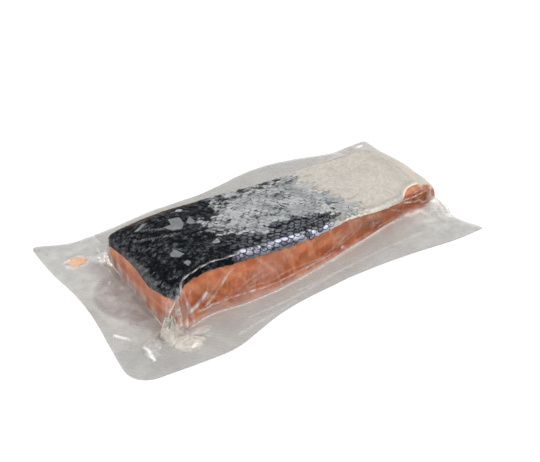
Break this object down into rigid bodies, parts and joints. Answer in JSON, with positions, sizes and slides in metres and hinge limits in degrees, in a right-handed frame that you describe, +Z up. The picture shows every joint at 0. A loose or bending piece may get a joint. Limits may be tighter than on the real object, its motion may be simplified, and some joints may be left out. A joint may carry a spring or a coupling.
{
  "type": "vacuum-packed salmon portion",
  "caption": "Skin-on salmon portion vacuum-sealed in a clear bag, lying skin side up with a flat film rim all round",
  "frame": {"origin": "centre of the bag's footprint, on the surface it lies on", "axes": "+X along the portion from its dark back cut to its pale belly end, +Z up through the skin"},
  "size_m": [0.2476, 0.1422, 0.0327],
  "materials": {
    "clear_film": "clear creased film drawn tight over the fish"
  },
  "bodies": {
    "root": {"vacuum_bag": "clear_film"}
  },
  "joints": []
}
